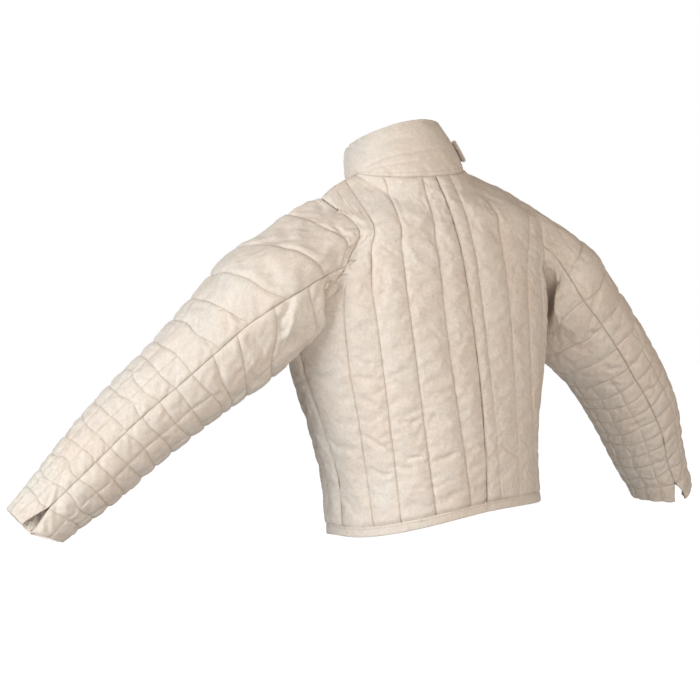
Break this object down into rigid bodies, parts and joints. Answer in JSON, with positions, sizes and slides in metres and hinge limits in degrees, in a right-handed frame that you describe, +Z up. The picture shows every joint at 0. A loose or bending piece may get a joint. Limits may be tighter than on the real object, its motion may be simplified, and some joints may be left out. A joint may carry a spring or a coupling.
{
  "type": "padded fencing jacket",
  "caption": "Quilted natural cotton fencing jacket with a stand collar and two-piece sleeves, in the hollow shape it has when worn, one arm raised.",
  "frame": {"origin": "the middle of the neck's base, where the jacket hangs on its wearer", "axes": "+Z up, +X to the wearer's left, +Y to the wearer's back"},
  "size_m": [1.1827, 0.2928, 0.6663],
  "materials": {
    "cloth": "matte cotton canvas",
    "binding": "matte cotton tape"
  },
  "bodies": {
    "root": {"back_left": "cloth", "back_right": "cloth", "front_left": "cloth", "front_right": "cloth", "sleeve_left_outer": "cloth", "sleeve_left_under": "cloth", "sleeve_right_outer": "cloth", "sleeve_right_under": "cloth", "collar": "cloth", "collar_flap": "cloth", "hem_binding": "binding", "front_fly": "cloth"}
  },
  "joints": []
}
